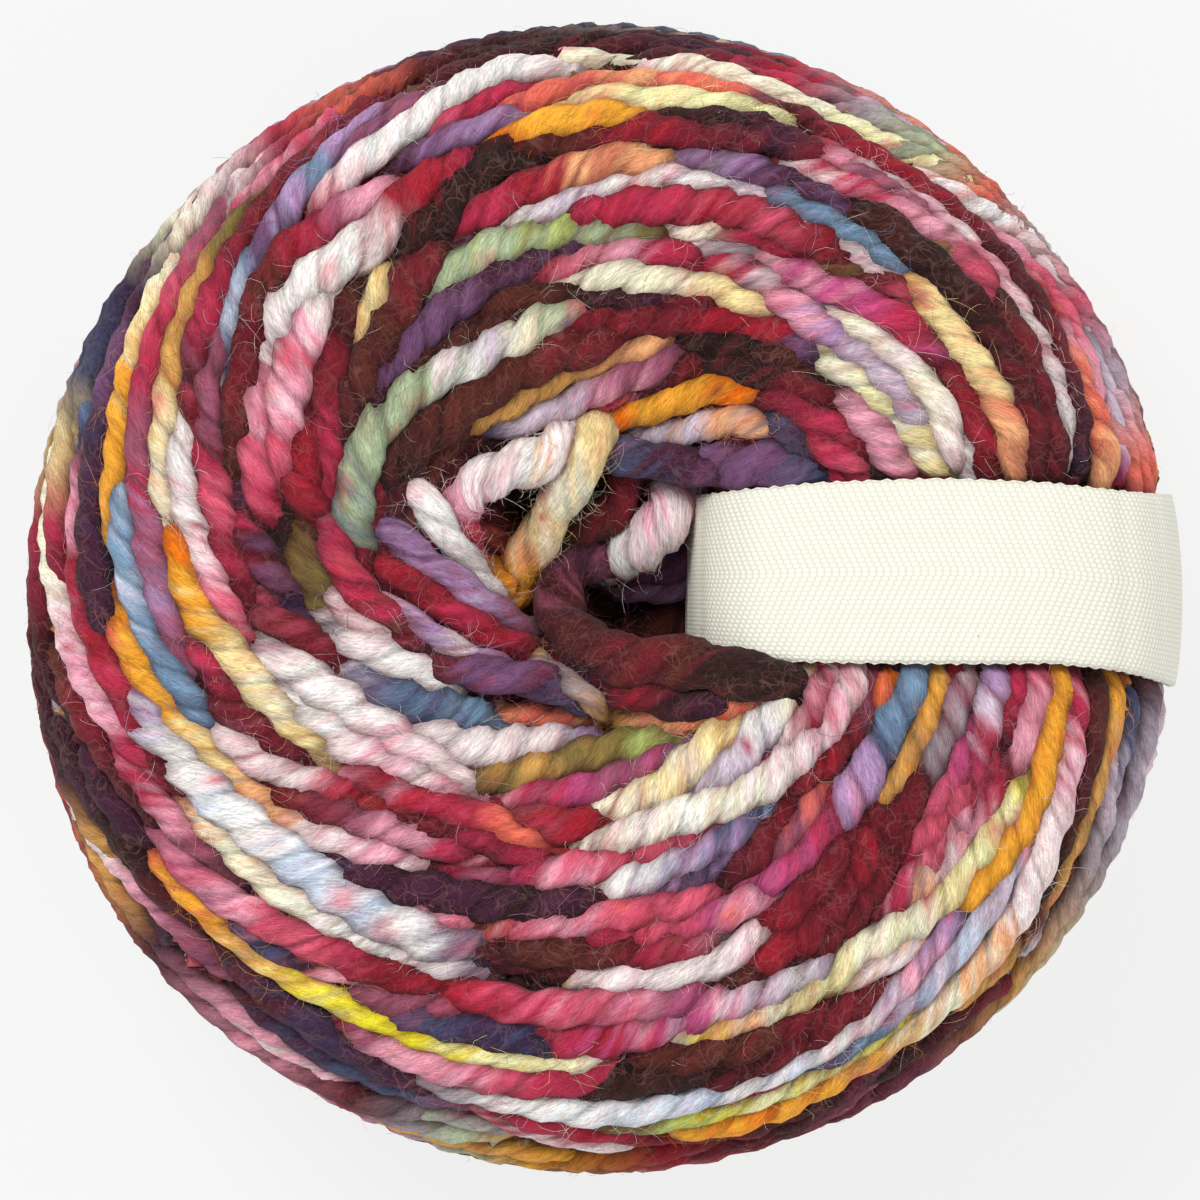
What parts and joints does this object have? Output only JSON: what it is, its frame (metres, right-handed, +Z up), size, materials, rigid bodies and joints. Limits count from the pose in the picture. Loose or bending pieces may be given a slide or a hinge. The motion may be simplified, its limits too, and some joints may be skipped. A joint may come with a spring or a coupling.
{
  "type": "yarn cake",
  "caption": "Squat drum of chunky hand-dyed two-ply yarn wound round an open centre, tied once round its wall with plain cotton tape.",
  "frame": {"origin": "middle of the cake's flat underside", "axes": "+Z up along the axis that the yarn is wound round, +X towards the side where the tape goes down the outside of the wall"},
  "size_m": [0.1341, 0.1341, 0.0835],
  "materials": {
    "yarn": "soft, fuzzy, loosely twisted two-ply wool, dyed in short lengths of wine, rose, cream, orange, yellow, blue and plum",
    "tape": "matt unbleached cotton in a fine herringbone weave"
  },
  "bodies": {
    "root": {"yarn_cake": "yarn", "tape_band": "tape"}
  },
  "joints": []
}
